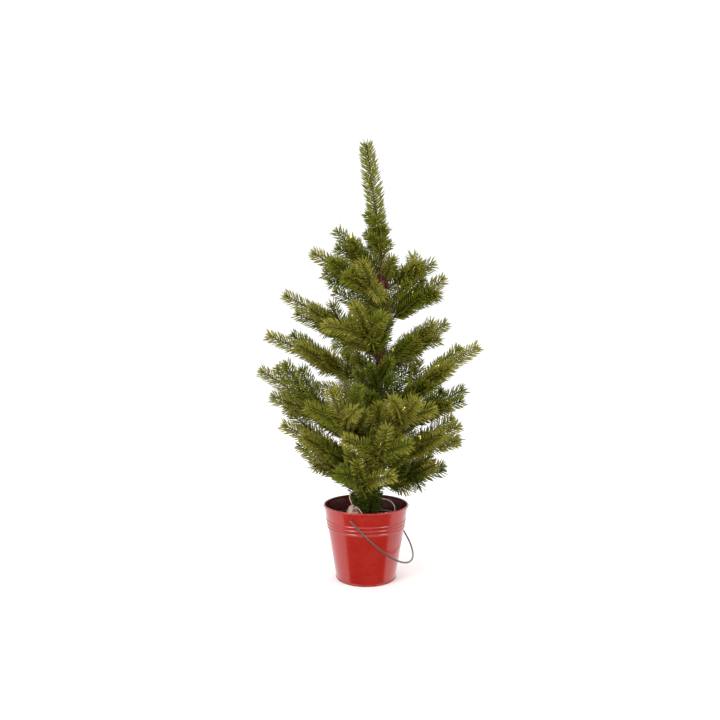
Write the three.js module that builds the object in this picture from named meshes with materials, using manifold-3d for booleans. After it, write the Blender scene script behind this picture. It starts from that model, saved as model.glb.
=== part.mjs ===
// A tabletop fir tree in an enamelled steel bucket, with a battery light string.
// Millimetres, +Z up. The origin is on the bucket's axis, on the plane it stands on. The front is -Y.
import * as THREE from 'three';
import { mergeVertices } from 'three/addons/utils/BufferGeometryUtils.js';
import Module from 'manifold-3d';

const wasm = await Module();
wasm.setup();

// Bucket
const BUCKET_HEIGHT = 100;
const RIM_RADIUS = 57.5;
const BASE_RADIUS = 40.5;
const WALL = 0.8;
const ROLL_RADIUS = 1.3;
const BEAD_HEIGHTS = [70, 75, 80];
const BEAD_SPAN = 3.4;
const BEAD_DEPTH = 1.1;
const FOOT_WIDTH = 2.2;
const BASE_RECESS = 2;
const WALL_FOOT_Z = 4;
const BUCKET_SEGMENTS = 40;
const DISC_SEGMENTS = 32;

// Bail: a wire that leaves its two holes square to the wall and bows out as a rounded U
const BAIL_WIRE = 1.2;
const BAIL_HOLE = 1.7;
const BAIL_PIVOT_Z = 90.3;
const BAIL_AXIS_TURN = 20;
const BAIL_HALF_WIDTH = 60.5;
const BAIL_REACH = 89;
const BAIL_DROP = 43.9;
const BAIL_FULLNESS = 0.827;
const BAIL_HOOK = 5;
const BAIL_INSIDE = 3;
const BAIL_CORNER = 1.4;
const BAIL_TURNS = 22;

// Ballast and trunk
const PLUG_TOP = 31;
const FIT_GAP = 0.4;
const POLE_RADIUS = 3.5;
const TINSEL_RADIUS = 6.4;
const TINSEL_SPAN = [106, 424];
const TRUNK_PATH = [
  [0, 0, 12], [0, 0, 60], [4, 0, 104], [12, 0, 200], [18, 0, 285], [23, 0, 380], [22, 0, 430],
];

// Battery box, standing on the plug with its cells upright
const CASE = { x: -16.5, y: -3, deep: 17, wide: 50, tall: 61, wall: 1.5, round: 6 };
const COVER_THICKNESS = 1.3;
const CELL_RADIUS = 7.1;
const CELL_LENGTH = 49;
const CELL_PITCH = 15.3;
const CELL_SPACE = 52.4;
const CELL_CAP_RADIUS = 2.6;
const CELL_CAP_HEIGHT = 1.2;
const FLOOR_THICKNESS = 1;
const CONTACT_THICKNESS = 0.5;
const BOARD_SPACE = 4;
const BOARD_THICKNESS = 1.2;
const GROMMET_RADIUS = 2.4;
const GROMMET_HEIGHT = 2.6;
const LEAD_RADIUS = 0.8;

// Tips
const STEM_RADIUS = 1.2;
const TIP_RADIUS = 4.6;
const TIP_END_RADIUS = 1.6;
const BARE_STEM = 24;
const TIP_SIDES = 6;
const ROOT_GAP = 1.2;
// shares of the reach and of the rise at which a stem bends
const BEND = [0.5, 0.6];
const UPTURNED_BEND = [0.62, 0.3];
const SIDE_TIPS_AT = [0.3, 0.4];
const SIDE_FOLLOW = 0.42;

// Leader: where its stem passes, and where its side tips end
const LEADER_GAP = 0.6;
const LEADER_PATH = [[19, 0, 464], [11, 0, 520], [0, 0, 597]];
const LEADER_TIPS = [[-2, -6, 502], [28, -12, 482], [26, 24, 480], [8, -28, 480]];

// Light string: the strand on the trunk, and the drops on the branches
const LIGHT_WIRE = 0.5;
const STRAND_SPAN = [128, 416];
const STRAND_TURNS = 24;
const STRAND_AZIMUTH = 42;
const STRAND_SWAY = 6;
const STRAND_AWAY = TINSEL_RADIUS + 1.5;
const DROP_RADIUS = 2.3;
const DROP_LENGTH = 6;
const LIGHT_START = 0.12;
const LIGHT_TURNS = 7;

const COLOURS = {
  enamel: { color: 0xb3121d, roughness: 0.2, metalness: 0.3 },
  wire: { color: 0x8d1b22, roughness: 0.35, metalness: 0.8 },
  plaster: { color: 0xcfc8bb, roughness: 0.95, metalness: 0 },
  steel: { color: 0xb8bcc0, roughness: 0.35, metalness: 1 },
  pole: { color: 0x5b4330, roughness: 0.8, metalness: 0 },
  tinsel: { color: 0x5a3230, roughness: 0.6, metalness: 0 },
  needles: { color: 0x5d7c3f, roughness: 0.55, metalness: 0 },
  casing: { color: 0xd9cfc8, roughness: 0.4, metalness: 0 },
  cell: { color: 0x3c4148, roughness: 0.35, metalness: 0.4 },
  board: { color: 0x2c5a3a, roughness: 0.6, metalness: 0 },
  rubber: { color: 0x2a2a2a, roughness: 0.8, metalness: 0 },
  lead: { color: 0xd8b9b4, roughness: 0.3, metalness: 0 },
  lamp: { color: 0xffe9c2, roughness: 0.15, metalness: 0 },
};

// A branch: where its stem meets the trunk, and where its main tip and its two side tips end.
// The stem of an upturned branch runs out flat and then climbs.
const BRANCHES = [
  // right side, from the top down
  { root: 396, tips: [[95, -22, 428], [64, -50, 424], [64, 22, 446]] },
  { root: 346, tips: [[113, 12, 413], [84, 48, 402], [98, -28, 386]] },
  { root: 290, tips: [[118, 26, 350], [92, -24, 350], [82, 64, 340]] },
  { root: 212, tips: [[155, -14, 317], [112, 38, 298], [110, -54, 290]] },
  { root: 184, tips: [[141, 22, 257], [108, 68, 240], [118, -12, 236]] },
  { root: 142, tips: [[129, -34, 214], [98, -72, 204], [134, 18, 184]] },
  { root: 118, tips: [[114, 18, 150], [84, 58, 152], [90, -38, 160]] },
  // left side, from the top down
  { root: 408, tips: [[-45, 6, 480], [-20, -38, 456], [-16, 38, 466]] },
  { root: 384, tips: [[-77, -12, 445], [-48, -50, 428], [-54, 32, 438]] },
  { root: 302, tips: [[-117, 14, 390], [-78, -36, 368], [-76, 52, 374]] },
  { root: 258, tips: [[-137, -16, 332], [-92, -62, 318], [-94, 46, 330]] },
  { root: 172, tips: [[-153, 10, 286], [-112, -26, 298], [-122, 30, 248]] },
  { root: 138, tips: [[-117, -18, 212], [-82, -58, 200], [-92, 34, 206]] },
  { root: 116, tips: [[-89, 24, 166], [-58, 62, 160], [-72, -26, 156]] },
  // front, from the top down
  { root: 360, tips: [[-8, -66, 424], [-34, -50, 404], [20, -72, 372]] },
  { root: 294, tips: [[-16, -92, 366], [-60, -72, 340], [24, -88, 352]] },
  { root: 200, upturned: true, tips: [[64, -94, 250], [28, -114, 254], [92, -70, 238]] },
  { root: 178, upturned: true, tips: [[-46, -94, 264], [-80, -74, 240], [-12, -116, 238]] },
  { root: 148, upturned: true, tips: [[24, -92, 218], [-32, -81, 200], [60, -86, 194]] },
  { root: 112, upturned: true, tips: [[-13, -70, 173], [38, -76, 152], [-42, -72, 154]] },
  // back, from the top down
  { root: 376, tips: [[22, 62, 452], [46, 44, 434], [-8, 52, 444]] },
  { root: 320, tips: [[6, 96, 392], [44, 84, 380], [-52, 66, 402]] },
  { root: 262, tips: [[58, 106, 326], [88, 72, 316], [20, 110, 312]] },
  { root: 204, tips: [[-42, 119, 276], [0, 117, 258], [-84, 92, 256]] },
  { root: 130, tips: [[38, 117, 194], [78, 98, 186], [-12, 116, 178]] },
];
// The branches, counted from 1, that carry a light drop, and how far out along the main tip it sits.
const LIT = [
  [2, 0.5], [4, 0.62], [6, 0.55], [8, 0.72], [10, 0.55], [12, 0.68], [13, 0.5], [16, 0.6],
  [17, 0.66], [18, 0.42], [19, 0.58], [21, 0.6], [23, 0.62], [24, 0.5], [25, 0.6],
];

const vec = (x, y, z) => new THREE.Vector3(x, y, z);
const radians = THREE.MathUtils.degToRad;
const tree = new THREE.Group();

// A mesh of the group, named and coloured
function add(name, colour, geometry) {
  const mesh = new THREE.Mesh(geometry, new THREE.MeshStandardMaterial(COLOURS[colour]));
  mesh.name = name;
  tree.add(mesh);
}

// Merges shared vertices and drops the triangles that collapse at a lathe's axis
function weld(geometry) {
  const bare = geometry.clone();
  bare.deleteAttribute('normal');
  bare.deleteAttribute('uv');
  const merged = mergeVertices(bare, 1e-4);
  const kept = [];
  const index = merged.index.array;
  for (let i = 0; i < index.length; i += 3) {
    const [a, b, c] = [index[i], index[i + 1], index[i + 2]];
    if (a !== b && b !== c && c !== a) kept.push(a, b, c);
  }
  merged.setIndex(kept);
  return merged;
}

function toSolid(geometry) {
  const welded = weld(geometry);
  const vertProperties = new Float32Array(welded.attributes.position.array);
  const triVerts = new Uint32Array(welded.index.array);
  return new wasm.Manifold(new wasm.Mesh({ numProp: 3, vertProperties, triVerts }));
}

function toGeometry(solid) {
  const mesh = solid.getMesh();
  const geometry = new THREE.BufferGeometry();
  geometry.setAttribute('position', new THREE.BufferAttribute(new Float32Array(mesh.vertProperties), 3));
  geometry.setIndex(new THREE.BufferAttribute(new Uint32Array(mesh.triVerts), 1));
  return geometry;
}

function join(...geometries) {
  return toGeometry(geometries.map(toSolid).reduce((whole, part) => whole.add(part)));
}

function cut(geometry, ...tools) {
  return toGeometry(tools.map(toSolid).reduce((whole, tool) => whole.subtract(tool), toSolid(geometry)));
}

function ring(radius, sides) {
  const points = [];
  for (let i = 0; i < sides; i += 1) {
    const a = (2 * Math.PI * i) / sides;
    points.push(new THREE.Vector2(radius * Math.cos(a), radius * Math.sin(a)));
  }
  return points;
}

// A smooth curve through points given as [x, y, z]
function smooth(points) {
  return throughAll(points.map((p) => vec(...p)));
}

function throughAll(vectors) {
  return new THREE.CatmullRomCurve3(vectors, false, 'centripetal');
}

// A tube along a curve; a hole makes it a sleeve
function tube(curve, radius, sides, steps, hole = 0) {
  const shape = new THREE.Shape(ring(radius, sides));
  if (hole > 0) shape.holes.push(new THREE.Path(ring(hole, sides)));
  return new THREE.ExtrudeGeometry(shape, { steps, extrudePath: curve, bevelEnabled: false });
}

// A turned shape about +Z from points [radius, height] that start and end on the axis or meet
function turned(profile, segments) {
  const points = profile.map(([r, z]) => new THREE.Vector2(r, z));
  return new THREE.LatheGeometry(points, segments).rotateX(Math.PI / 2);
}

function block(low, high) {
  const size = high.map((h, i) => h - low[i]);
  const middle = high.map((h, i) => (h + low[i]) / 2);
  return new THREE.BoxGeometry(...size).translate(...middle);
}

// The sideways and upward directions across a curve at u
function frameAt(curve, u, steep) {
  const along = curve.getTangentAt(u);
  const reference = steep ? vec(0, 1, 0) : vec(0, 0, 1);
  const side = along.clone().cross(reference).normalize();
  return { along, side, up: side.clone().cross(along).normalize() };
}

// A turned spindle bent to follow a curve: rings are [fraction along, radius]
function spindle(curve, rings, sides) {
  const ends = [[0, rings[0][0]], ...rings.map(([u, r]) => [r, u]), [0, rings[rings.length - 1][0]]];
  const points = ends.map(([r, u]) => new THREE.Vector2(r, u));
  const geometry = weld(new THREE.LatheGeometry(points, sides));
  const position = geometry.attributes.position;
  const chord = curve.getPoint(1).sub(curve.getPoint(0)).normalize();
  const steep = Math.abs(chord.z) > 0.94;
  for (let i = 0; i < position.count; i += 1) {
    const u = Math.min(1, Math.max(0, position.getY(i)));
    const frame = frameAt(curve, u, steep);
    const place = curve.getPointAt(u);
    place.addScaledVector(frame.side, position.getX(i));
    place.addScaledVector(frame.up, position.getZ(i));
    position.setXYZ(i, place.x, place.y, place.z);
  }
  return geometry;
}

function wallRadius(z) {
  return BASE_RADIUS + ((RIM_RADIUS - BASE_RADIUS) * z) / BUCKET_HEIGHT;
}

// Direction of the bail's hinge line, through the two holes in the wall
const bailAxis = vec(Math.sin(radians(BAIL_AXIS_TURN)), Math.cos(radians(BAIL_AXIS_TURN)), 0);

function bucketWall() {
  const outer = [];
  outer.push([BASE_RADIUS - FOOT_WIDTH / 2, 0], [BASE_RADIUS + FOOT_WIDTH / 3, 0]);
  outer.push([BASE_RADIUS + FOOT_WIDTH / 2, 1.2], [BASE_RADIUS + FOOT_WIDTH / 2, 2.6]);
  outer.push([wallRadius(WALL_FOOT_Z), WALL_FOOT_Z]);
  for (const z of BEAD_HEIGHTS) {
    outer.push([wallRadius(z - BEAD_SPAN / 2), z - BEAD_SPAN / 2]);
    outer.push([wallRadius(z) + BEAD_DEPTH, z]);
  }
  const last = BEAD_HEIGHTS[BEAD_HEIGHTS.length - 1] + BEAD_SPAN / 2;
  outer.push([wallRadius(last), last]);
  const rollZ = BUCKET_HEIGHT - ROLL_RADIUS;
  for (let i = 0; i <= 5; i += 1) {
    const a = radians(-80 + i * 50);
    outer.push([RIM_RADIUS + ROLL_RADIUS * Math.cos(a), rollZ + ROLL_RADIUS * Math.sin(a)]);
  }
  const inner = [[wallRadius(BAIL_PIVOT_Z) - WALL, BAIL_PIVOT_Z], [wallRadius(last) - WALL, last]];
  for (const z of [...BEAD_HEIGHTS].reverse()) {
    inner.push([wallRadius(z) + BEAD_DEPTH - WALL, z]);
    inner.push([wallRadius(z - BEAD_SPAN / 2) - WALL, z - BEAD_SPAN / 2]);
  }
  inner.push([wallRadius(WALL_FOOT_Z) - WALL, WALL_FOOT_Z], [BASE_RADIUS - FOOT_WIDTH / 2, 2.6]);
  const shell = turned([...outer, ...inner, outer[0]], BUCKET_SEGMENTS);
  const drill = new THREE.CylinderGeometry(BAIL_HOLE, BAIL_HOLE, 3 * RIM_RADIUS, 10);
  drill.rotateZ(radians(-BAIL_AXIS_TURN)).translate(0, 0, BAIL_PIVOT_Z);
  return cut(shell, drill);
}

function bucketBase() {
  const edge = BASE_RADIUS - FOOT_WIDTH / 2 - FIT_GAP;
  const top = BASE_RECESS + WALL;
  return turned([[0, BASE_RECESS], [edge, BASE_RECESS], [edge, top], [0, top]], DISC_SEGMENTS);
}

function bailPoint(t) {
  const drop = radians(BAIL_DROP);
  const turn = radians(BAIL_AXIS_TURN);
  const out = vec(Math.cos(turn) * Math.cos(drop), -Math.sin(turn) * Math.cos(drop), -Math.sin(drop));
  const place = onBailAxis(-BAIL_HALF_WIDTH * Math.cos(t), 0);
  return place.addScaledVector(out, BAIL_REACH * Math.sin(t) ** BAIL_FULLNESS);
}

// A point along the hinge line from the bucket's axis, raised above it
function onBailAxis(along, rise) {
  return vec(0, 0, BAIL_PIVOT_Z + rise).addScaledVector(bailAxis, along);
}

function bailHandle() {
  const inside = wallRadius(BAIL_PIVOT_Z) - WALL - BAIL_INSIDE;
  const hook = [[inside - 1, BAIL_HOOK], [inside, BAIL_WIRE], [inside + 1.4, 0], [inside + 4, 0]];
  const corner = BAIL_HALF_WIDTH - BAIL_CORNER;
  const bow = [];
  for (let i = 1; i < BAIL_TURNS; i += 1) {
    bow.push(bailPoint((Math.PI * i) / BAIL_TURNS));
  }
  const near = hook.map(([along, rise]) => onBailAxis(-along, rise));
  const far = hook.map(([along, rise]) => onBailAxis(along, rise)).reverse();
  const route = [...near, onBailAxis(-corner, 0), ...bow, onBailAxis(corner, 0), ...far];
  return tube(throughAll(route), BAIL_WIRE, 7, 70);
}

function ballastPlug(trunk) {
  const low = BASE_RECESS + WALL + FIT_GAP;
  const radius = (z) => wallRadius(z) - WALL - FIT_GAP;
  const wide = WALL_FOOT_Z + 1;
  const profile = [
    [0, low], [BASE_RADIUS - FOOT_WIDTH, low], [radius(wide), wide],
    [radius(PLUG_TOP), PLUG_TOP], [0, PLUG_TOP],
  ];
  const foot = trunk.getPoint(0);
  const bore = POLE_RADIUS + FIT_GAP;
  const socket = new THREE.CylinderGeometry(bore, bore, PLUG_TOP, 12);
  socket.rotateX(Math.PI / 2).translate(foot.x, foot.y, foot.z - FIT_GAP + PLUG_TOP / 2);
  return cut(turned(profile, DISC_SEGMENTS), socket);
}

// The part of a rising curve between two heights
function stretch(curve, low, high, count) {
  const points = [];
  for (let i = 0; i <= count; i += 1) {
    points.push(atHeight(curve, low + ((high - low) * i) / count));
  }
  return throughAll(points);
}

function atHeight(curve, z) {
  let [low, high] = [0, 1];
  for (let i = 0; i < 30; i += 1) {
    const middle = (low + high) / 2;
    if (curve.getPoint(middle).z < z) {
      low = middle;
    } else {
      high = middle;
    }
  }
  return curve.getPoint(low);
}

function batteryBox() {
  const c = CASE;
  const [left, right] = [c.x - c.deep / 2, c.x + c.deep / 2];
  const [front, back] = [c.y - c.wide / 2, c.y + c.wide / 2];
  const low = PLUG_TOP + FIT_GAP;
  const top = low + c.tall;
  const shoulder = top - c.round;
  const outline = new THREE.Shape();
  outline.moveTo(left, low).lineTo(right, low).lineTo(right, shoulder);
  outline.absarc(right - c.round, shoulder, c.round, 0, Math.PI / 2);
  outline.lineTo(left + c.round, top);
  outline.absarc(left + c.round, shoulder, c.round, Math.PI / 2, Math.PI);
  const body = new THREE.ExtrudeGeometry(outline, { depth: c.wide, bevelEnabled: false, curveSegments: 5 });
  body.rotateX(Math.PI / 2).translate(0, back, 0);
  const cellLow = low + c.wall;
  const cellHigh = cellLow + CELL_SPACE;
  const cells = block([left - 1, front + c.wall, cellLow], [right - c.wall, back - c.wall, cellHigh]);
  const boardLow = cellHigh + FLOOR_THICKNESS;
  const boards = block([left + 3, c.y, boardLow], [right - 3, back - c.wall, boardLow + BOARD_SPACE]);
  const slot = block([c.x - 1.8, c.y + 5, boardLow], [c.x + 1.8, c.y + 15, top + 1]);
  add('battery_case', 'casing', cut(body, cells, boards, slot));

  const coverX = left - FIT_GAP;
  const coverFace = coverX - COVER_THICKNESS;
  const plate = block([coverFace, front + 0.5, low + 1], [coverX, back - 0.5, shoulder]);
  const ridge = block([coverFace - 0.8, c.y - 8, shoulder - 14], [coverX - 1, c.y + 8, shoulder - 9]);
  add('battery_cover', 'casing', join(plate, ridge));

  const contactLow = cellLow + FIT_GAP;
  const contactHigh = cellHigh - CONTACT_THICKNESS - FIT_GAP;
  for (const [name, z] of [['contact_plate_bottom', contactLow], ['contact_plate_top', contactHigh]]) {
    const from = [left + 1, front + c.wall + FIT_GAP, z];
    const to = [right - c.wall - FIT_GAP, back - c.wall - FIT_GAP, z + CONTACT_THICKNESS];
    add(name, 'steel', block(from, to));
  }
  const cellFoot = (contactLow + CONTACT_THICKNESS + contactHigh - CELL_LENGTH) / 2;
  const cap = CELL_LENGTH - CELL_CAP_HEIGHT;
  for (let i = 0; i < 3; i += 1) {
    const cell = turned([
      [0, 0], [CELL_RADIUS, 0], [CELL_RADIUS, cap], [CELL_CAP_RADIUS, cap], [CELL_CAP_RADIUS, CELL_LENGTH],
      [0, CELL_LENGTH],
    ], 14);
    if (i === 1) {
      cell.rotateX(Math.PI).translate(0, 0, CELL_LENGTH);
    }
    cell.translate(c.x - 0.6, c.y + (i - 1) * CELL_PITCH, cellFoot);
    add(`battery_cell_${i + 1}`, 'cell', cell);
  }
  const boardFrom = [left + 3.6, c.y + 1, boardLow + FIT_GAP];
  const boardTo = [right - 3.6, back - c.wall - 1, boardLow + FIT_GAP + BOARD_THICKNESS];
  add('timer_board', 'board', block(boardFrom, boardTo));

  const flange = block([c.x - 3, c.y + 7, boardLow + 2], [c.x + 3, c.y + 13, boardLow + BOARD_SPACE - 0.5]);
  const thumb = block([c.x - 1.4, c.y + 8.5, boardLow + 3], [c.x + 1.4, c.y + 11.5, top + 1.4]);
  add('switch_slider', 'rubber', join(flange, thumb));

  const exit = vec(c.x, c.y - 14, top + FIT_GAP);
  const grommet = turned([
    [0, 0], [GROMMET_RADIUS, 0], [GROMMET_RADIUS * 0.7, GROMMET_HEIGHT], [0, GROMMET_HEIGHT],
  ], 12);
  add('lead_grommet', 'rubber', grommet.translate(exit.x, exit.y, exit.z));
  return exit.add(vec(0, 0, GROMMET_HEIGHT + FIT_GAP));
}

// One lead straight up to the trunk, and one that first lies in a loose loop in the bucket
function leads(exit) {
  const { x, y, z } = exit;
  const short = [
    [x - 1, y, z], [x - 1.4, y, z + 3], [-21, y + 2, 107], [-22.4, y + 4, 111],
    [-20.5, y + 7, 116], [-12, -4, 121], [-6, 2, 125],
  ];
  add('lead_left', 'lead', tube(smooth(short), LEAD_RADIUS, 8, 14));
  const long = [
    [x + 1, y, z], [x + 1.4, y, z + 2.4], [-10, -20, 97], [-5, -24, 91], [2, -25, 87], [12, -26, 84],
    [22, -24, 90], [27, -20, 92], [32, -17, 88], [36, -14, 88], [38.6, -15, 94], [38.2, -15, 99],
    [35, -13, 104], [28, -9, 107], [20, -6, 108], [12, -4.5, 112],
  ];
  add('lead_right', 'lead', tube(smooth(long), LEAD_RADIUS, 8, 34));
}

// The strand that climbs the back of the trunk, between the branch roots
function trunkStrand(trunk) {
  const points = [];
  const [low, high] = STRAND_SPAN;
  for (let i = 0; i <= STRAND_TURNS; i += 1) {
    const z = low + ((high - low) * i) / STRAND_TURNS;
    const around = radians(STRAND_AZIMUTH + STRAND_SWAY * Math.sin(i * 1.3));
    const place = atHeight(trunk, z);
    points.push([place.x + STRAND_AWAY * Math.cos(around), place.y + STRAND_AWAY * Math.sin(around), z]);
  }
  return tube(smooth(points), LIGHT_WIRE, 6, 32);
}

// The main stem leaves the trunk steeply and levels out, or, upturned, the other way about;
// the side tips leave it part way out
function branchCurves(trunk, { root, tips, upturned }) {
  const middle = atHeight(trunk, root);
  const main = vec(...tips[0]);
  const outward = vec(main.x - middle.x, main.y - middle.y, 0).normalize();
  const start = middle.clone().addScaledVector(outward, TINSEL_RADIUS + ROOT_GAP);
  const reach = Math.hypot(main.x - start.x, main.y - start.y);
  const rise = main.z - start.z;
  const [out, up] = upturned ? UPTURNED_BEND : BEND;
  const bend = start.clone().addScaledVector(outward, out * reach);
  bend.z += up * rise;
  const stem = new THREE.QuadraticBezierCurve3(start, bend, main);
  const sides = SIDE_TIPS_AT.map((u, i) => {
    const from = stem.getPointAt(u);
    const to = vec(...tips[i + 1]);
    const lead = from.clone().addScaledVector(stem.getTangentAt(u), SIDE_FOLLOW * from.distanceTo(to));
    return new THREE.QuadraticBezierCurve3(from, lead, to);
  });
  return { stem, sides, outward };
}

function sideTip(curve) {
  const rings = [[0, STEM_RADIUS], [0.25, TIP_RADIUS], [0.7, TIP_RADIUS], [1, TIP_END_RADIUS]];
  return spindle(curve, rings, TIP_SIDES);
}

function branchSolid({ stem, sides }) {
  const bare = BARE_STEM / stem.getLength();
  const rings = [
    [0, STEM_RADIUS], [bare, STEM_RADIUS], [bare + 0.1, TIP_RADIUS], [0.72, TIP_RADIUS], [1, TIP_END_RADIUS],
  ];
  return join(spindle(stem, rings, TIP_SIDES), ...sides.map(sideTip));
}

// A stretch of light wire that rides above a stem and ends in a drop
function lightSolid({ stem }, reach) {
  const points = [];
  for (let i = 0; i <= LIGHT_TURNS; i += 1) {
    const u = LIGHT_START + ((reach - LIGHT_START) * i) / LIGHT_TURNS;
    const clear = i === 0 ? STEM_RADIUS + 1.6 : TIP_RADIUS + 2.8;
    points.push(stem.getPointAt(u).addScaledVector(frameAt(stem, u, false).up, clear));
  }
  const drop = new THREE.SphereGeometry(DROP_RADIUS, 7, 5).scale(1, 1, DROP_LENGTH / (2 * DROP_RADIUS));
  const end = points[LIGHT_TURNS];
  drop.translate(end.x, end.y, end.z + DROP_LENGTH / 3);
  return join(tube(throughAll(points), LIGHT_WIRE, 5, 9), drop);
}

// The leader: an upright tip on the top of the pole, with short side tips round its foot
function leaderSolid(trunk) {
  const foot = trunk.getPoint(1);
  const stem = smooth([[foot.x, foot.y, foot.z + LEADER_GAP], ...LEADER_PATH]);
  const shoots = LEADER_TIPS.map((end, i) => {
    const from = stem.getPointAt(0.12 + 0.06 * i);
    const to = vec(...end);
    const lead = from.clone().add(vec(0, 0, 0.35 * from.distanceTo(to)));
    return sideTip(new THREE.QuadraticBezierCurve3(from, lead, to));
  });
  const rings = [
    [0, STEM_RADIUS], [0.1, STEM_RADIUS], [0.2, TIP_RADIUS], [0.75, TIP_RADIUS], [1, TIP_END_RADIUS],
  ];
  return join(spindle(stem, rings, TIP_SIDES), ...shoots);
}

add('bucket_wall', 'enamel', bucketWall());
add('bucket_base', 'enamel', bucketBase());
add('bail_handle', 'wire', bailHandle());

const trunk = smooth(TRUNK_PATH);
add('ballast_plug', 'plaster', ballastPlug(trunk));
add('trunk_pole', 'pole', tube(trunk, POLE_RADIUS, 10, 16));
const wrapped = stretch(trunk, ...TINSEL_SPAN, 10);
add('trunk_tinsel', 'tinsel', tube(wrapped, TINSEL_RADIUS, 10, 12, POLE_RADIUS + FIT_GAP));

leads(batteryBox());
add('trunk_light_wire', 'lead', trunkStrand(trunk));

BRANCHES.forEach((branch, i) => {
  const number = String(i + 1).padStart(2, '0');
  const curves = branchCurves(trunk, branch);
  add(`branch_${number}`, 'needles', branchSolid(curves));
  const lit = LIT.find(([which]) => which === i + 1);
  if (lit) {
    add(`branch_light_${number}`, 'lamp', lightSolid(curves, lit[1]));
  }
});
add('leader_tip', 'needles', leaderSolid(trunk));

export default tree;
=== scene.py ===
import math
from functools import partial

import bmesh
import bpy
import numpy as np
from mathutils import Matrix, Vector


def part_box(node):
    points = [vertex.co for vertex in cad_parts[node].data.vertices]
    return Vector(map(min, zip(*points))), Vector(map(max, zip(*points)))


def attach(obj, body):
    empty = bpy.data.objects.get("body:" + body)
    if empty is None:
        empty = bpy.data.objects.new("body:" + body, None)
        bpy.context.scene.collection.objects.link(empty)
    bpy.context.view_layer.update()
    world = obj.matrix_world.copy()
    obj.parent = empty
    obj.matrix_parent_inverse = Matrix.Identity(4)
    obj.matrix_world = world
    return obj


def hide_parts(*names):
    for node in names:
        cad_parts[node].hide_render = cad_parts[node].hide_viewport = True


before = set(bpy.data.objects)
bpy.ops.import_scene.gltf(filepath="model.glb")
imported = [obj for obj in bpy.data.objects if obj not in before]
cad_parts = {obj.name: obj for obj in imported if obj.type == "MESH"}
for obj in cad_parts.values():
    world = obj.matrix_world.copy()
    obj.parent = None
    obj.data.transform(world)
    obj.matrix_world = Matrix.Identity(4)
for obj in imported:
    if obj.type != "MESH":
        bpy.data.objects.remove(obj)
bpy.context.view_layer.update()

# An artificial fir for a table top: moulded polyethylene tips on wired twigs, a tinsel-wrapped
# trunk set in plaster, an enamelled steel bucket and a battery light string.
# Lengths below are in millimetres and are scaled to metres as each mesh is made.
MM = 0.001
DRAW = np.random.default_rng(2412)

TRUNK_ROUTE = [
    (0, 0, 12), (0, 0, 60), (4, 0, 104), (12, 0, 200), (18, 0, 285), (23, 0, 380), (22, 0, 430),
]
TINSEL_RADIUS = 6.4
ROOT_GAP = 1.2
BARE_STEM = 24
# Where the eye stands: to the right, behind and above the middle of the bucket's foot.
EYE = (-8.3, -826.0, 297.0)

# Each bough: the height of its root on the trunk, the ends of its main tip and two side tips,
# and the moulding colour of each of them (g green, d deep green, o olive).
BOUGHS = [
    (396, [(95, -22, 428), (64, -50, 424), (64, 22, 446)], "gog"),
    (346, [(113, 12, 413), (84, 48, 402), (98, -28, 386)], "ogo"),
    (290, [(118, 26, 350), (92, -24, 350), (82, 64, 340)], "oog"),
    (212, [(155, -14, 317), (112, 38, 298), (110, -54, 290)], "ogo"),
    (184, [(141, 22, 257), (108, 68, 240), (118, -12, 236)], "ggo"),
    (142, [(129, -34, 214), (98, -72, 204), (134, 18, 184)], "oog"),
    (118, [(114, 18, 150), (84, 58, 152), (90, -38, 160)], "odo"),
    (408, [(-45, 6, 480), (-20, -38, 456), (-16, 38, 466)], "ggo"),
    (384, [(-77, -12, 445), (-48, -50, 428), (-54, 32, 438)], "ogg"),
    (302, [(-117, 14, 390), (-78, -36, 368), (-76, 52, 374)], "oog"),
    (258, [(-137, -16, 332), (-92, -62, 318), (-94, 46, 330)], "oog"),
    (172, [(-153, 10, 286), (-112, -26, 298), (-122, 30, 248)], "ogo"),
    (138, [(-117, -18, 212), (-82, -58, 200), (-92, 34, 206)], "oog"),
    (116, [(-89, 24, 166), (-58, 62, 160), (-72, -26, 156)], "odo"),
    (360, [(-8, -66, 424), (-34, -50, 404), (20, -72, 372)], "ogo"),
    (294, [(-16, -92, 366), (-60, -72, 340), (24, -88, 352)], "oog"),
    (200, [(64, -94, 250), (28, -114, 254), (92, -70, 238)], "ooo"),
    (178, [(-46, -94, 264), (-80, -74, 240), (-12, -116, 238)], "ogo"),
    (148, [(24, -92, 218), (-32, -81, 200), (60, -86, 194)], "oog"),
    (112, [(-13, -70, 173), (38, -76, 152), (-42, -72, 154)], "ood"),
    (376, [(22, 62, 452), (46, 44, 434), (-8, 52, 444)], "gdg"),
    (320, [(6, 96, 392), (44, 84, 380), (-52, 66, 402)], "ogg"),
    (262, [(58, 106, 326), (88, 72, 316), (20, 110, 312)], "gog"),
    (204, [(-42, 119, 276), (0, 117, 258), (-84, 92, 256)], "ogo"),
    (130, [(38, 117, 194), (78, 98, 186), (-12, 116, 178)], "ogd"),
]
SHADE = {"g": 0.62, "d": 0.42, "o": 0.83}
# The lower front boughs run out flat and then climb; the others climb and then run out.
UPTURNED = (17, 18, 19, 20)
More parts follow.
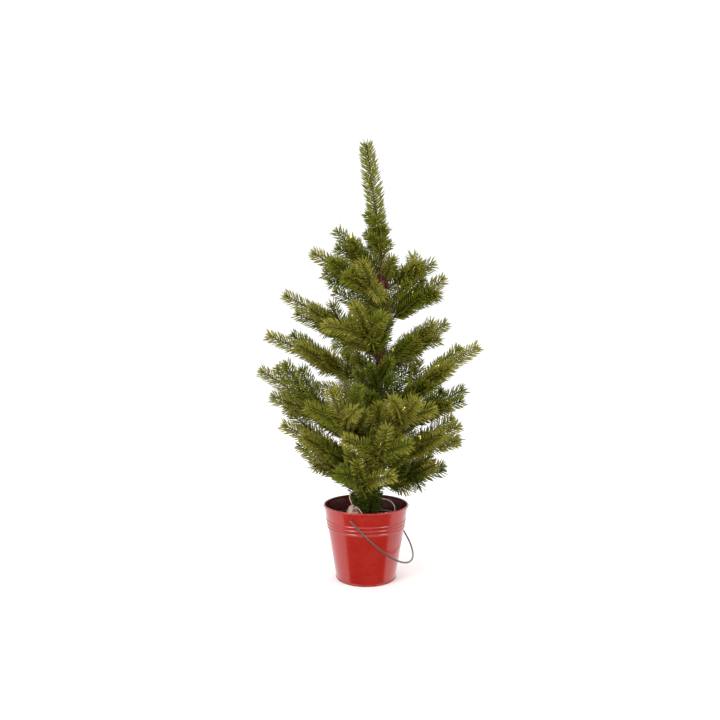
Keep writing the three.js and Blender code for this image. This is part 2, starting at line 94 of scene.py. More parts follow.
# Further short tips wired to some boughs, where the three of the set leave a gap.
FILLERS = {
    1: [(84, -4, 404)],
    2: [(76, 14, 400), (54, 0, 402)],
    3: [(78, 0, 306), (60, -10, 332)],
    4: [(134, -4, 318), (84, -30, 268), (70, 6, 300)],
    5: [(137, -6, 244), (112, 10, 258)],
    6: [(122, -14, 222), (128, -20, 188)],
    7: [(60, -20, 122), (114, 6, 146), (92, -8, 170), (36, 18, 114), (70, -30, 126)],
    8: [(-44, -14, 452)],
    9: [(-62, -10, 416), (-54, -20, 400)],
    10: [(-100, 0, 362), (-46, -30, 374), (-72, 4, 350), (-62, -10, 336)],
    11: [(-22, -46, 308), (-104, -6, 334), (-66, -20, 286)],
    12: [(-134, -14, 250), (-88, -36, 290), (-116, -6, 232), (-124, -10, 290)],
    13: [(-108, 6, 228), (-98, -10, 182)],
    16: [(8, -62, 322), (-48, -40, 312)],
    18: [(-40, -60, 262), (-10, -70, 270)],
    19: [(16, -60, 246), (44, -60, 250)],
    20: [(14, -64, 214), (-26, -60, 206)],
}
# Open places in the crown, as the eye sees them: how far right, how high and how wide.
OPENINGS = [(47, 345, 15), (55, 450, 15), (-34, 270, 17), (-70, 128, 16), (22, 402, 12)]

# ---- colours and materials


def linear(code):
    """An sRGB hex colour as linear light, with full alpha."""
    parts = [int(code[i:i + 2], 16) / 255 for i in (1, 3, 5)]
    light = [p / 12.92 if p <= 0.04045 else ((p + 0.055) / 1.055) ** 2.4 for p in parts]
    return (*light, 1.0)


def add_node(tree, kind, settings=None, links=None):
    """Adds one shader node: inputs and properties from settings, sockets joined by links. A
    node in links stands for its first output."""
    made = tree.nodes.new("ShaderNode" + kind)
    for key, value in (settings or {}).items():
        if key == "stops":
            ramp = made.color_ramp.elements
            while len(ramp) < len(value):
                ramp.new(0.5)
            for stop, (place, code) in zip(ramp, value):
                stop.position = place
                stop.color = linear(code)
        elif isinstance(key, int) or key in made.inputs:
            made.inputs[key].default_value = value
        else:
            setattr(made, key, value)
    for key, source in (links or {}).items():
        tree.links.new(getattr(source, "outputs", [source])[0], made.inputs[key])
    return made


def new_material(name):
    """An empty material, what adds its nodes, and the place that its patterns follow."""
    material = bpy.data.materials.new(name)
    material.use_nodes = True
    material.node_tree.nodes.clear()
    add = partial(add_node, material.node_tree)
    return material, add, add("TexCoord").outputs["Object"]


def finish_material(add, fixed, colour, rough, bump):
    """Joins colour, roughness and relief to the surface; fixed is the same all over it."""
    shader = add("BsdfPrincipled", fixed,
                 {"Base Color": colour, "Roughness": rough, "Normal": bump})
    add("OutputMaterial", None, {"Surface": shader})


def per_mm(size_mm):
    """The scale of a pattern whose features are this size."""
    return 1000.0 / size_mm


def polyethylene_needles():
    """Injection-moulded polyethylene: a waxy half-gloss, each needle its own mix of pigment,
    pale along its middle, with painted shade darkening it towards its root and its point."""
    material, add, where = new_material("moulded_polyethylene_needles")
    shade = add("Attribute", {"attribute_name": "shade"})
    along = add("Attribute", {"attribute_name": "along"})
    mottle = add("TexNoise", {"Scale": per_mm(6), "Detail": 3}, {"Vector": where})
    drift = add("Math", {"operation": "MULTIPLY_ADD", 1: 0.25, 2: -0.125}, {0: mottle})
    mixed = add("Math", {"operation": "ADD"}, {0: shade.outputs["Fac"], 1: drift})
    pigment = add("ValToRGB", {"stops": [
        (0.0, "#3e4a08"), (0.3, "#5c6e0e"), (0.55, "#7c8213"), (0.8, "#938e2a"),
        (1.0, "#afa84e")]}, {"Fac": mixed})
    # Painted shade: each needle is darker towards its root and its point than along its middle.
    painted_end_shade = add("ValToRGB", {"stops": [
        (0.0, "#b4b4b4"), (0.35, "#ffffff"), (0.8, "#e4e4e4"), (1.0, "#9c9690")]},
        {"Fac": along.outputs["Fac"]})
    colour = add("Mix", {"data_type": "RGBA", "blend_type": "MULTIPLY", 0: 1.0},
                 {6: pigment, 7: painted_end_shade})
    rough = add("MapRange", {"From Min": 0.3, "From Max": 0.7, "To Min": 0.36, "To Max": 0.56},
                {"Value": mottle})
    grain = add("TexNoise", {"Scale": per_mm(0.7), "Detail": 2}, {"Vector": where})
    bump = add("Bump", {"Strength": 0.25, "Distance": 0.0003}, {"Height": grain})
    finish_material(add, {"IOR": 1.51, "Specular IOR Level": 0.3}, colour.outputs[2], rough, bump)
    return material


def painted_twig():
    """Polyethylene twig with brown paint brushed on: matt, bark-like, green showing through."""
    material, add, where = new_material("brown_painted_twig")
    bark = add("TexNoise", {"Scale": per_mm(3), "Detail": 5}, {"Vector": where})
    brown = add("ValToRGB", {"stops": [
        (0.3, "#3b2a16"), (0.55, "#644a24"), (0.7, "#7d6430")]}, {"Fac": bark})
    green = add("ValToRGB", {"stops": [(0.3, "#4c5a1a"), (0.7, "#6f7426")]}, {"Fac": bark})
    painted = add("Attribute", {"attribute_name": "paint"})
    cover = add("MapRange", {"From Min": 0.3, "From Max": 0.6}, {"Value": painted.outputs["Fac"]})
    colour = add("Mix", {"data_type": "RGBA"}, {0: cover, 6: green, 7: brown})
    bump = add("Bump", {"Strength": 0.6, "Distance": 0.0004}, {"Height": bark})
    rough = add("MapRange", {"To Min": 0.55, "To Max": 0.85}, {"Value": bark})
    finish_material(add, {"IOR": 1.5, "Specular IOR Level": 0.3}, colour.outputs[2], rough, bump)
    return material


def stoved_enamel():
    """Stoved gloss enamel on pressed steel: deep red with slight orange peel, painted shade as a
    darker red over the inside, and patchy darker red round the bottom of the foot."""
    material, add, where = new_material("stoved_gloss_enamel")
    cloud = add("TexNoise", {"Scale": per_mm(45), "Detail": 2}, {"Vector": where})
    outer = add("ValToRGB", {"stops": [(0.3, "#961204"), (0.7, "#a31605")]}, {"Fac": cloud})
    # Painted shade: the inside of the bucket takes the darker inner red, by the paint mark read as
    # thin.
    inner = add("ValToRGB", {"stops": [(0.3, "#4a0a05"), (0.7, "#5c0d07")]}, {"Fac": cloud})
    thin = add("Attribute", {"attribute_name": "paint"})
    red = add("Mix", {"data_type": "RGBA"}, {0: thin.outputs["Fac"], 6: outer, 7: inner})
    axis = add("SeparateXYZ", None, {"Vector": where})
    # Patchy darker red round the bottom 3.5 mm of the foot.
    foot = add("MapRange", {"From Min": 0.0035, "From Max": 0.0, "To Min": 0.0, "To Max": 1.0},
               {"Value": axis.outputs["Z"]})
    speck = add("TexNoise", {"Scale": per_mm(5), "Detail": 4}, {"Vector": where})
    patch_mask = add("MapRange", {"From Min": 0.42, "From Max": 0.62}, {"Value": speck})
    dark_foot_patches = add("Math", {"operation": "MULTIPLY"}, {0: foot, 1: patch_mask})
    colour = add("Mix", {"data_type": "RGBA", 7: linear("#4a1512")}, {0: dark_foot_patches, 6: red.outputs[2]})
    haze = add("TexNoise", {"Scale": per_mm(14), "Detail": 4}, {"Vector": where})
    rough = add("MapRange", {"From Min": 0.3, "From Max": 0.7, "To Min": 0.2, "To Max": 0.32},
                {"Value": haze})
    peel = add("TexNoise", {"Scale": per_mm(2.5), "Detail": 1}, {"Vector": where})
    bump = add("Bump", {"Strength": 0.08, "Distance": 0.0004}, {"Height": peel})
    finish_material(add, {"IOR": 1.52, "Coat Weight": 0.5, "Coat Roughness": 0.06},
                    colour.outputs[2], rough, bump)
    return material


def grained(name, colours, size_mm, rough, bump_mm, ior=1.5, detail=4, **sockets):
    """A finish with one noise that sets its colour, its roughness and its relief. A metal has
    no ior, and keeps the shader's own."""
    material, add, where = new_material(name)
    grain = add("TexNoise", {"Scale": per_mm(size_mm), "Detail": detail}, {"Vector": where})
    stops = list(zip(np.linspace(0.3, 0.7, len(colours)), colours))
    colour = add("ValToRGB", {"stops": stops}, {"Fac": grain})
    gloss = add("MapRange", {"To Min": rough[0], "To Max": rough[1]}, {"Value": grain})
    bump = add("Bump", {"Strength": 0.5, "Distance": bump_mm * MM}, {"Height": grain})
    fixed = {"IOR": ior} if ior else {"Metallic": 1.0}
    fixed.update({key.replace("_", " "): value for key, value in sockets.items()})
    finish_material(add, fixed, colour, gloss, bump)
    return material


NEEDLES = polyethylene_needles()
TWIG = painted_twig()
ENAMEL = stoved_enamel()
# drawn steel wire, dull from the die with fine lines
WIRE = grained("drawn_steel_wire", ("#6a605c", "#857a75"), 1.5, (0.28, 0.48), 0.06,
               ior=None, detail=3)
# cast plaster: chalky, pitted by air bubbles
PLASTER = grained("cast_plaster", ("#a89f90", "#d8d1c4"), 2.5, (0.85, 0.95), 0.6, ior=1.52)
# kraft paper tape wound on the pole: fibrous and matt
PAPER_TAPE = grained("kraft_paper_tape", ("#3f2d1d", "#6b5138"), 2.0, (0.7, 0.9), 0.3)
# slit PVC film: brown and burgundy, with a plastic glint from each strip
TINSEL = grained("slit_pvc_tinsel", ("#4a1612", "#6e241e", "#7c4628"),
                 4.0, (0.25, 0.5), 0.1, ior=1.53)
# frosted polypropylene: pale, slightly clear, fine mould texture; painted shade and a painted red
# reflection of the bucket make its colour a pinkish beige
FROSTED_CASE_PAINTED_SHADE_AND_REFLECTION = grained("frosted_polypropylene_painted_shade_and_reflection", ("#c09d8a", "#c7a593"),
                       1.2, (0.35, 0.5), 0.05, ior=1.49, Subsurface_Weight=0.25,
                       Subsurface_Radius=(0.004, 0.002, 0.0015))
# shrink film on a cell: plain and glossy
CELL_FILM = grained("cell_shrink_film", ("#2c3036", "#3a4048"), 8.0, (0.2, 0.3), 0.03, ior=1.55)
# nickel-plated spring steel: bright, with a slight warm cast
NICKEL = grained("nickel_plated_steel", ("#b4b2ac", "#cfcdc6"), 3.0, (0.2, 0.4), 0.02, ior=None)
# solder-masked glass epoxy board: even deep green, half gloss
BOARD = grained("solder_mask", ("#174a2c", "#1f5c38"), 2.0, (0.3, 0.45), 0.05, ior=1.55)
# moulded black ABS, lightly grained
BLACK_ABS = grained("moulded_black_abs", ("#151515", "#232323"), 0.8, (0.45, 0.6), 0.06, ior=1.53)
# natural rubber, tan and slightly bloomed
CREPE_RUBBER = grained("natural_rubber", ("#7d6350", "#957962"), 1.0, (0.6, 0.8), 0.05, ior=1.52)
# clear flexible PVC over tinned copper: pinkish, glossy
CLEAR_PVC = grained("clear_pvc_jacket", ("#cdab9c", "#dcbeb0"), 3.0, (0.12, 0.25),
                    0.05, ior=1.53, Coat_Weight=0.3)
# green PVC over stranded copper, thin
GREEN_PVC = grained("green_pvc_jacket", ("#2c3a1e", "#3d4d28"), 3.0, (0.3, 0.45), 0.05, ior=1.53)
# cast epoxy drop lit from inside by a warm white diode
EPOXY_DROP = grained("lit_epoxy_drop", ("#fff0b8", "#fff6d4"), 2.0, (0.08, 0.15),
                     0.02, ior=1.54, Emission_Color=linear("#ffe27a"), Emission_Strength=2.2)

# ---- curves


def smooth(points, count=200):
    """A centripetal Catmull-Rom curve through the points, evenly spaced along its length."""
    p = np.array(points, float)
    p = np.vstack([2 * p[0] - p[1], p, 2 * p[-1] - p[-2]])
    parts = []
    for i in range(1, len(p) - 2):
        knots = [0.0]
        for k in range(3):
            knots.append(knots[-1] + np.linalg.norm(p[i + k] - p[i + k - 1]) ** 0.5)
        t = np.linspace(knots[1], knots[2], 40, endpoint=False)[:, None]
        q = p[i - 1:i + 3]
        a = [(knots[k + 1] - t) / (knots[k + 1] - knots[k]) * q[k]
             + (t - knots[k]) / (knots[k + 1] - knots[k]) * q[k + 1] for k in range(3)]
        b = [(knots[k + 2] - t) / (knots[k + 2] - knots[k]) * a[k]
             + (t - knots[k]) / (knots[k + 2] - knots[k]) * a[k + 1] for k in range(2)]
        span = knots[2] - knots[1]
        parts.append((knots[2] - t) / span * b[0] + (t - knots[1]) / span * b[1])
    return spaced(np.vstack(parts + [p[-2:-1]]), count)


def spaced(points, count):
    """The same line with evenly spaced points."""
    steps = np.linalg.norm(np.diff(points, axis=0), axis=1)
    length = np.concatenate([[0], np.cumsum(steps)])
    at = np.linspace(0, length[-1], count)
    return np.stack([np.interp(at, length, points[:, k]) for k in range(3)], axis=1)


def bezier(a, b, c, count=60):
    """A bent line from a to c that leaves a towards b."""
    t = np.linspace(0, 1, 120)[:, None]
    return spaced((1 - t) ** 2 * a + 2 * t * (1 - t) * b + t ** 2 * c, count)


def unit(v):
    v = np.asarray(v, float)
    return v / np.maximum(np.linalg.norm(v, axis=-1, keepdims=True), 1e-9)


def circle(count):
    """Angles evenly round a circle."""
    return np.linspace(0, 2 * math.pi, count, endpoint=False)


def level(angle):
    """A level direction by its angle from +X."""
    return np.array([math.cos(angle), math.sin(angle), 0])


def length_of(points):
    return float(np.linalg.norm(np.diff(points, axis=0), axis=1).sum())


def frames(points, reference=(0, 0, 1)):
    """Tangent, sideways and upward directions along a line, carried on without twist."""
    tangent = unit(np.gradient(points, axis=0))
    side = unit(np.cross(tangent[0], reference))
    sides = [side]
    for t in tangent[1:]:
        side = unit(side - t * np.dot(side, t))
        sides.append(side)
    sides = np.array(sides)
    return tangent, sides, np.cross(sides, tangent)


# ---- meshes


CREASE = 40


class Body:
    """Vertices and faces gathered for one piece, in millimetres."""

    def __init__(self):
        self.verts = []
        self.faces = []
        self.marks = []
        self.count = 0

    def add(self, verts, faces, mark=None):
        """mark is how much of a second colour each vertex has: brown paint, or painted inner shade.
        """
        verts = np.asarray(verts, float)
        self.verts.append(verts)
        self.marks.append(np.zeros(len(verts)) if mark is None else mark)
        self.faces.extend([tuple(int(i) + self.count for i in face) for face in faces])
        self.count += len(verts)

    def points(self):
        return np.vstack(self.verts)


def gathered(*parts):
    """A body of parts, each its vertices and faces."""
    body = Body()
    for verts, faces in parts:
        body.add(verts, faces)
    return body


def sweep(path, radius, sides=12, reference=(0, 0, 1)):
    """A closed round tube along a path; radius is a number or one for each point."""
    path = np.asarray(path, float)
    n = len(path)
    radius = np.broadcast_to(np.asarray(radius, float), (n,))
    _, side, up = frames(path, reference)
    turn = circle(sides)
    rings = path[:, None] + radius[:, None, None] * (
        np.cos(turn)[None, :, None] * side[:, None] + np.sin(turn)[None, :, None] * up[:, None])
    faces = []
    for i in range(n - 1):
        for k in range(sides):
            j = (k + 1) % sides
            faces.append((i * sides + k, (i + 1) * sides + k, (i + 1) * sides + j, i * sides + j))
    faces.append(tuple(range(sides)))
    faces.append(tuple((n - 1) * sides + k for k in reversed(range(sides))))
    return rings.reshape(-1, 3), faces


def lathe(profile, segments=96):
    """A turned shape about +Z; the profile is [radius, height], and closes on itself."""
    profile = np.asarray(profile, float)
    turn = circle(segments)
    n = len(profile)
    verts = np.stack([
        np.outer(profile[:, 0], np.cos(turn)),
        np.outer(profile[:, 0], np.sin(turn)),
        np.repeat(profile[:, 1:2], segments, axis=1)], axis=2).reshape(-1, 3)
    faces = []
    for i in range(n):
        h = (i + 1) % n
        for k in range(segments):
            j = (k + 1) % segments
            faces.append((i * segments + k, i * segments + j, h * segments + j, h * segments + k))
    return verts, faces


def clean_mesh(name, body):
    """A mesh in metres, welded, with its faces turned outwards."""
    mesh = bpy.data.meshes.new(name)
    mesh.from_pydata((body.points() * MM).tolist(), [], body.faces)
    marks = mesh.attributes.new("paint", "FLOAT", "POINT")
    marks.data.foreach_set("value", np.concatenate(body.marks).astype(np.float32))
    work = bmesh.new()
    work.from_mesh(mesh)
    bmesh.ops.remove_doubles(work, verts=work.verts, dist=1e-7)
    bmesh.ops.dissolve_degenerate(work, edges=work.edges, dist=1e-8)
    bmesh.ops.recalc_face_normals(work, faces=work.faces)
    work.to_mesh(mesh)
    work.free()
    return mesh


def make(name, body, *finish, **more):
    """A finished piece from gathered vertices and faces."""
    return place(name, clean_mesh(name, body), *finish, **more)


def add_object(name, data):
    made = bpy.data.objects.new(name, data)
    bpy.context.scene.collection.objects.link(made)
    return made


def place(name, mesh, material, rides, slot, replaces=(), crease=CREASE):
    """Stands a mesh in the scene as a piece; edges sharper than crease degrees stay sharp."""
    piece = add_object(name, mesh)
    mesh.materials.append(material)
    mesh.shade_smooth()
    if crease:
        mesh.set_sharp_from_angle(angle=math.radians(crease))
    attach(piece, rides)
    if replaces:
        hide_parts(*replaces)
    return piece


def block(low, high, round_by=0.6, segments=3):
    """A box with rounded edges, as vertices and faces."""
    low, high = np.array(low, float), np.array(high, float)
    work = bmesh.new()
    bmesh.ops.create_cube(work, size=1.0)
    for vert in work.verts:
        vert.co = Vector((low + high) / 2) + Vector(np.array(vert.co) * (high - low))
    bmesh.ops.bevel(work, geom=work.edges[:], offset=round_by, segments=segments, profile=0.5,
                    affect="EDGES", clamp_overlap=True)
    verts = [tuple(v.co) for v in work.verts]
    work.verts.index_update()
    faces = [tuple(v.index for v in f.verts) for f in work.faces]
    work.free()
    return verts, faces


def carve(piece, cutters):
    """Cuts closed bodies, given in millimetres, out of a piece."""
    for cutter in cutters:
        tool = add_object("cutter", clean_mesh("cutter", cutter))
        modifier = piece.modifiers.new("cut", "BOOLEAN")
        modifier.operation = "DIFFERENCE"
        modifier.solver = "EXACT"
        modifier.object = tool
        bpy.context.view_layer.update()
        result = piece.evaluated_get(bpy.context.evaluated_depsgraph_get())
        cut = bpy.data.meshes.new_from_object(result)
        piece.modifiers.clear()
        piece.data = cut
        bpy.data.objects.remove(tool)
    piece.data.shade_smooth()
    piece.data.set_sharp_from_angle(angle=math.radians(CREASE))


# ---- needles

# A needle is two rings of four corners and a point; these are how far out they lie, and how
# wide and thick the needle is there.
NEEDLE_ALONG = np.array([0.0, 0.72, 1.0])
NEEDLE_WIDE = np.array([0.6, 1.0])
NEEDLE_FACES = [(0, 3, 2, 1)]
NEEDLE_FACES += [(k, (k + 1) % 4, 4 + (k + 1) % 4, 4 + k) for k in range(4)]
NEEDLE_FACES += [(4 + k, 4 + (k + 1) % 4, 8) for k in range(4)]
NEEDLE_CORNERS = 9
NEEDLE_POINT = 8
NEEDLE_HALF_WIDE = 0.8
NEEDLE_HALF_THIN = 0.5
NEEDLE_BOW = 0.12


class Needles:
    """All the needles of one piece: their bases, headings, leans, lengths and shades."""

    def __init__(self):
        self.rows = []

    def add(self, *columns):
        self.rows.append(columns)

    def make(self, name, rides, replaces=()):
        """One piece of all the needles, each a bowed blade of nine corners."""
        base, heading, lean, size, shade = map(np.concatenate, zip(*self.rows))
        heading = unit(heading)
        n = len(base)
        flat = unit(lean - heading * np.sum(lean * heading, axis=1, keepdims=True))
        thin = np.cross(heading, flat)
        half_wide = NEEDLE_HALF_WIDE * DRAW.uniform(0.85, 1.15, n)
        bow = NEEDLE_BOW * size
        verts = np.zeros((n, NEEDLE_CORNERS, 3))
        for r in range(3):
            s = NEEDLE_ALONG[r]
            middle = base + heading * (s * size)[:, None] + flat * (bow * s * s)[:, None]
            if r == 2:
                verts[:, NEEDLE_POINT] = middle
                break
            for k, (a, b) in enumerate(((1, 0), (0, 1), (-1, 0), (0, -1))):
                verts[:, 4 * r + k] = (middle + flat * (a * half_wide * NEEDLE_WIDE[r])[:, None]
                                       + thin * (b * NEEDLE_HALF_THIN * NEEDLE_WIDE[r]))
        mesh = bpy.data.meshes.new(name)
        pattern = np.concatenate([np.array(f) for f in NEEDLE_FACES])
        sizes = np.array([len(f) for f in NEEDLE_FACES])
        loops = (pattern[None] + NEEDLE_CORNERS * np.arange(n)[:, None]).ravel()
        totals = np.tile(sizes, n)
        starts = np.concatenate([[0], np.cumsum(totals)[:-1]])
        mesh.vertices.add(n * NEEDLE_CORNERS)
        mesh.vertices.foreach_set("co", (verts * MM).ravel())
        mesh.loops.add(len(loops))
        mesh.loops.foreach_set("vertex_index", loops)
        mesh.polygons.add(len(totals))
        mesh.polygons.foreach_set("loop_start", starts)
        mesh.polygons.foreach_set("loop_total", totals)
        along = np.tile(np.concatenate([np.repeat(NEEDLE_ALONG[:2], 4), NEEDLE_ALONG[2:]]), n)
        for key, values in (("along", along), ("shade", np.repeat(shade, NEEDLE_CORNERS))):
            layer = mesh.attributes.new(key, "FLOAT", "POINT")
            layer.data.foreach_set("value", values.astype(np.float32))
        self.lay_out(mesh, n)
        mesh.update(calc_edges=True)
        mesh.validate()
        return place(name, mesh, NEEDLES, rides, "needles", replaces, crease=0)

    def lay_out(self, mesh, n):
        """Gives each needle its own cell of the texture, its length across and its sides up."""
        grid = math.ceil(math.sqrt(n))
        corner = []
        for face in NEEDLE_FACES:
            for place_in_face, index in enumerate(face):
                ring = index // 4
                across = NEEDLE_ALONG[ring]
                if face is NEEDLE_FACES[0]:
                    corner.append((0.02 + 0.02 * (place_in_face in (1, 2)),
                                   0.1 + 0.1 * (place_in_face > 1)))
                    continue
                first = face[0] % 4
                step = first + (1 if index % 4 != first and index != NEEDLE_POINT else 0)
                upward = (first + 0.5) / 4 if index == NEEDLE_POINT else step / 4
                corner.append((0.08 + 0.84 * across, 0.08 + 0.84 * upward))
        corner = np.array(corner)
        cells = np.stack([np.arange(n) % grid, np.arange(n) // grid], axis=1)
        uv = (cells[:, None] + corner[None]) / grid
        layer = mesh.uv_layers.new(name="OFBake")
        layer.data.foreach_set("uv", uv.ravel().astype(np.float32))


NEEDLE_LENGTH = 18.0
WHORL_STEP = 3.6
WHORL_COUNT = 7
# From a twig's foot to its end: by how many degrees needles open from it, and how long they
# are as a share of the longest.
OPEN_AT, OPEN_BY = [0, 0.6, 0.9, 1], [60, 56, 52, 46]
LONG_AT, LONG_BY = [0, 0.15, 0.6, 0.9, 1], [0.8, 1.0, 1.0, 0.88, 0.76]
TUFT_COUNT = 9


def clothe(needles, twig, shade, bare=4.0, length=NEEDLE_LENGTH, count=WHORL_COUNT,
           reference=(0, 0, 1), flare=0):
    """Sets whorls of needles along a twig, in rows as the mould makes them, ending in a tuft."""
    whole = length_of(twig)
    tangent, side, up = frames(twig, reference)
    at = np.linspace(0, 1, len(twig))
    places = np.arange(bare, whole - 0.5, WHORL_STEP)
    turn = circle(count) + DRAW.uniform(-0.15, 0.15)
    u = np.repeat(places, count) + DRAW.uniform(-0.35, 0.35, len(places) * count)
    u = np.clip(u / whole, 0, 1)
    n = len(u)
    base, t, s, w = (np.stack([np.interp(u, at, along[:, k]) for k in range(3)], axis=1)
                     for along in (twig, tangent, side, up))
    t, s, w = unit(t), unit(s), unit(w)
    around = (np.tile(turn, len(places)) + DRAW.uniform(-0.14, 0.14, n))[:, None]
    outward = np.cos(around) * s + np.sin(around) * w
    open_by = np.interp(u, OPEN_AT, OPEN_BY) + flare * u + DRAW.uniform(-5, 5, n)
    open_by = np.radians(open_by)[:, None]
    heading = np.cos(open_by) * t + np.sin(open_by) * outward
    size = length * np.interp(u, LONG_AT, LONG_BY) * DRAW.uniform(0.88, 1.08, n)
    needles.add(base + outward * 0.4, heading, t + 0.15 * outward, size,
                shade + DRAW.normal(0, 0.1, n))
    around = circle(TUFT_COUNT)
    around = (around + DRAW.uniform(-0.2, 0.2, TUFT_COUNT))[:, None]
    outward = np.cos(around) * side[-1] + np.sin(around) * up[-1]
    open_by = np.radians(DRAW.uniform(8, 42, TUFT_COUNT))[:, None]
    heading = np.cos(open_by) * tangent[-1] + np.sin(open_by) * outward
    base = twig[-1] - tangent[-1] * 1.5 + outward * 0.3
    size = length * DRAW.uniform(0.42, 0.6, TUFT_COUNT)
    needles.add(base, heading, np.tile(tangent[-1], (TUFT_COUNT, 1)) + 0.3 * outward, size,
                shade + DRAW.normal(0, 0.08, TUFT_COUNT))


# ---- tree

trunk = smooth(TRUNK_ROUTE, 400)


def trunk_at(z):
    """The middle of the trunk at a height."""
    return np.array([np.interp(z, trunk[:, 2], trunk[:, k]) for k in range(3)])


def at_length(points, u):
    """The point a share u of the way along evenly spaced points."""
    at = np.linspace(0, 1, len(points))
    return np.array([np.interp(u, at, points[:, k]) for k in range(3)])


# A stem bends this share of the way out and of the way up.
BEND = (0.5, 0.6)
UPTURNED_BEND = (0.62, 0.3)
SIDE_TIPS_AT = (0.3, 0.4)


def bough_lines(number):
    """The stem out to the main tip, and the side tips that leave it part way out."""
    root, tips, _ = BOUGHS[number - 1]
    middle = trunk_at(root)
    main = np.array(tips[0], float)
    outward = unit(np.array([main[0] - middle[0], main[1] - middle[1], 0]))
    start = middle + outward * (TINSEL_RADIUS + ROOT_GAP)
    reach = math.hypot(main[0] - start[0], main[1] - start[1])
    out, up = UPTURNED_BEND if number in UPTURNED else BEND
    bend = start + outward * out * reach
    bend[2] += up * (main[2] - start[2])
    stem = bezier(start, bend, main)
    lines = [stem] + [shoot(stem, u, end, 0.42) for u, end in zip(SIDE_TIPS_AT, tips[1:])]
    return lines, outward


def shoot(stem, u, end, follow):
    """A tip that leaves a stem a share u of the way along, and follows it at first."""
    start = at_length(stem, u)
    end = np.array(end, float)
    heading = unit(at_length(stem, min(1, u + 0.03)) - start)
    return bezier(start, start + heading * follow * np.linalg.norm(end - start), end, 40)


def shortened(line, mm):
    """A line less its last few millimetres, so that its needles end where the tip should."""
    keep = 1 - mm / length_of(line)
    return spaced(line[:max(2, int(len(line) * keep))], len(line))


def fills_opening(line):
    """Whether the outer part of a short tip would close one of the open places."""
    eye_x, eye_y, eye_z = EYE
    for point in line[len(line) // 3:]:
        away = (point[1] - eye_y) / -eye_y
        x, z = (point[0] - eye_x) / away + eye_x, (point[2] - eye_z) / away + eye_z
        if any(math.hypot(x - a, z - b) < wide for a, b, wide in OPENINGS):
            return True
    return False


# Short shoots wired to every bough: how far along, which side, how steep and how long.
SHOOTS = [(0.10, 1, 0.6, 52), (0.16, -1, 0.35, 52), (0.26, -1, 0.65, 56), (0.32, 1, 0.25, 52),
          (0.46, 1, 0.4, 40)]
# They stand up more on boughs that reach this far forward, and on the lowest.
FORWARD = -60
FORWARD_LIFT = 0.3
LOW_ROOTS, LOW_LIFT = [110, 150], [0.5, 0]
# The topmost boughs have shorter ones.
HIGH_ROOTS, HIGH_SIZE = [360, 410], [1, 0.6]
NEEDLE_REACH = 7.0


def bough(number, root, tips, shades):
    lines, outward = bough_lines(number)
    name = f"bough_{number:02d}"
    across = np.cross(outward, (0, 0, 1))
    stem = lines[0]
    extra = []
    lift = np.interp(root, LOW_ROOTS, LOW_LIFT) + (FORWARD_LIFT if tips[0][1] < FORWARD else 0)
    size = np.interp(root, HIGH_ROOTS, HIGH_SIZE)
    for u, yaw, rise, reach in SHOOTS:
        turned = unit(0.7 * outward + yaw * (0.62 + DRAW.uniform(-0.15, 0.15)) * across
                      + np.array([0, 0, rise + lift]))
        end = at_length(stem, u) + turned * reach * size * DRAW.uniform(0.9, 1.1)
        extra.append(shoot(stem, u, end, 0.3))
    extra = [line for line in extra if not fills_opening(line)]
    for i, end in enumerate(FILLERS.get(number, [])):
        extra.append(shoot(stem, 0.15 + 0.07 * i, end, 0.35))
    twigs = Body()
    needles = Needles()
    tone = [SHADE[c] for c in shades]
    for i, line in enumerate(lines + extra):
        line = shortened(line, NEEDLE_REACH)
        along = np.linspace(0, 1, len(line))
        thick = (1.25 if i == 0 else 1.0) - 0.5 * along
        knobs = 1 + 0.12 * DRAW.uniform(-1, 1, len(line))
        paint = 1 - along if i == 0 else 0.55 - 0.5 * along
        twigs.add(*sweep(line, thick * knobs, 8), np.repeat(paint, 8))
        level = tone[i] if i < 3 else tone[(i + 1) % 3] - 0.12
        clothe(needles, line, level, bare=BARE_STEM - 10 if i == 0 else 5.0)
    make(f"{name}_twigs", twigs, TWIG, name, "needles", crease=0)
    needles.make(f"{name}_needles", name, (f"branch_{number:02d}",))


for i, (root, tips, shades) in enumerate(BOUGHS):
    bough(i + 1, root, tips, shades)


LEADER_PATH = [(19, 0, 464), (11, 0, 520), (0, 0, 597)]
LEADER_TIPS = [(-2, -6, 502), (28, -12, 482), (26, 24, 480), (8, -28, 480), (-4, 10, 478),
               (0, -16, 468), (36, 4, 464)]
LEADER_GAP = 0.6


def leader():
    """The upright tip on the top of the pole, with short side tips round its foot."""
    stem = smooth([trunk[-1] + (0, 0, LEADER_GAP)] + LEADER_PATH, 120)
    lines = [stem]
    for i, end in enumerate(LEADER_TIPS):
        start = at_length(stem, 0.12 + 0.06 * i if i < 4 else 0.06)
        end = np.array(end, float)
        lift = start + np.array([0, 0, 0.35 * np.linalg.norm(end - start)])
        lines.append(bezier(start, lift, end, 40))
    forward = (0, 1, 0)
    twigs = Body()
    needles = Needles()
    for i, line in enumerate(lines):
        line = shortened(line, 6.0)
        along = np.linspace(0, 1, len(line))
        twigs.add(*sweep(line, 1.3 - 0.6 * along, 8, forward), np.repeat(0.6 - 0.5 * along, 8))
        shade, length, count = (0.66, 19.0, 10) if i == 0 else (0.55, 14.0, 8)
        clothe(needles, line, shade, 5.0, length, count, forward, flare=6)
    make("leader_twigs", twigs, TWIG, "tree", "needles", crease=0)
    needles.make("leader_needles", "tree", ("leader_tip",))


leader()

